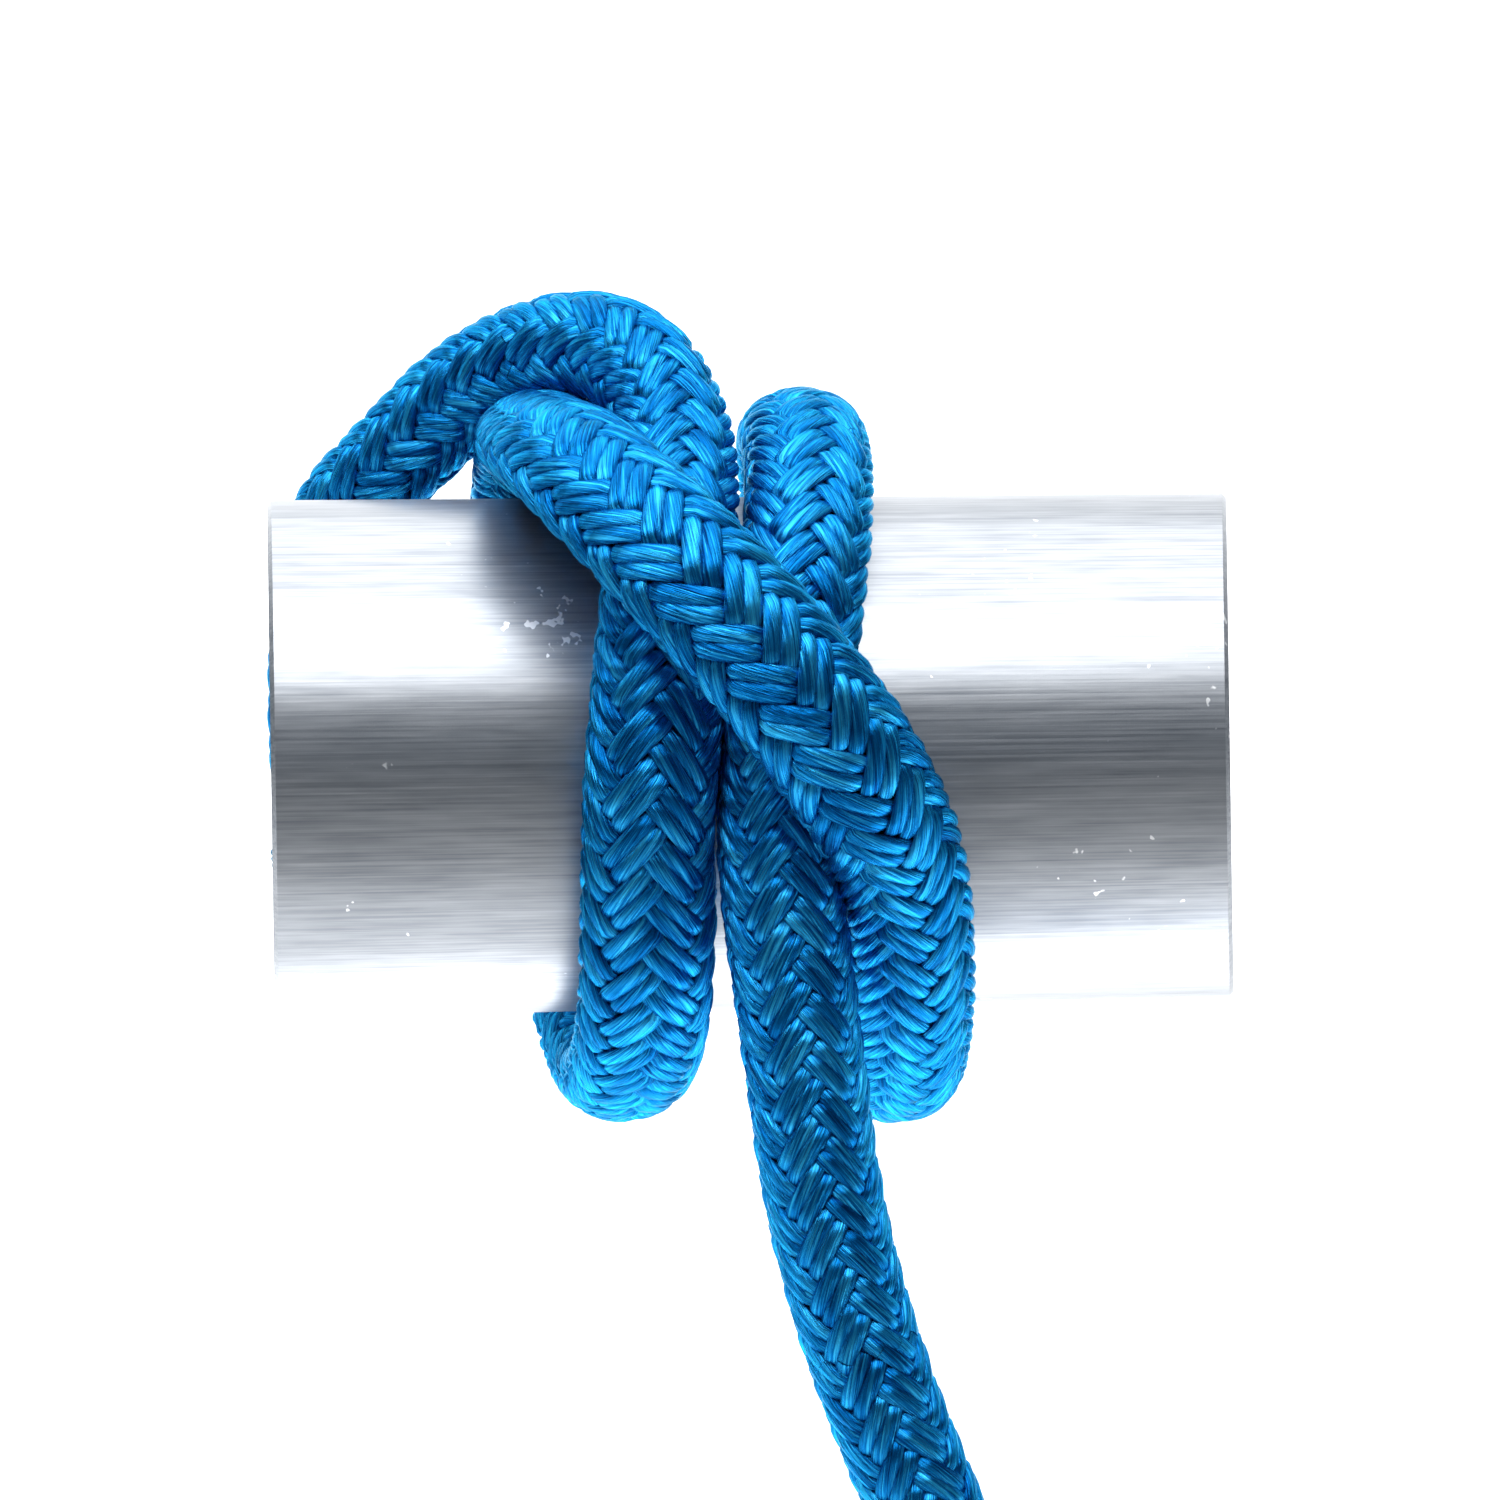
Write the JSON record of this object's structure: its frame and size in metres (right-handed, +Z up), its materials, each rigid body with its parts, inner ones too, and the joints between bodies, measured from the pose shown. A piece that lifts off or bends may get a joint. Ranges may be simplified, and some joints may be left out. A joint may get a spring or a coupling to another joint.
{
  "type": "clove-hitched rope",
  "caption": "Blue double-braid lead rope made fast to a round rail with a clove hitch: whipped working end behind the rail, tail with a seized eye for a snap or shackle.",
  "frame": {"origin": "on the rail's axis, at the middle of the hitch", "axes": "+X along the rail, +Y from the rail's front to its back, +Z up"},
  "size_m": [0.1454, 0.1008, 0.2555],
  "materials": {
    "cover": "satin",
    "core": "matte",
    "twine": "satin",
    "sealed_end": "satin"
  },
  "bodies": {
    "hitch": {"arch_cover": "cover", "first_turn_cover": "cover", "riding_turn_cover": "cover", "last_turn_cover": "cover", "hitch_core": "core"},
    "working_end": {"end_cover": "cover", "end_core": "core", "end_whipping": "twine", "end_tip": "sealed_end"},
    "tail": {"tail_cover": "cover", "tail_core": "core"},
    "eye": {"eye_cover": "cover", "eye_core": "core", "eye_seizing": "twine", "eye_end_whipping": "twine", "eye_end_tip": "sealed_end"}
  },
  "joints": [
    {"name": "end_lift", "type": "hinge", "parent": "hitch", "child": "working_end", "pos_m": [-0.043, 0.02475, 0.03275], "axis": [1, 0, 0], "range_deg": [0, 40]},
    {"name": "tail_swing", "type": "hinge", "parent": "hitch", "child": "tail", "pos_m": [0.00295, -0.037, -0.0415], "axis": [0, 1, 0], "range_deg": [-22, 22], "stiffness_Nm_per_rad": 0.08, "springref_deg": -11.46},
    {"name": "eye_swing", "type": "hinge", "parent": "tail", "child": "eye", "pos_m": [0.0214, -0.037, -0.09975], "axis": [1, 0, 0], "range_deg": [-35, 35], "stiffness_Nm_per_rad": 0.05}
  ]
}
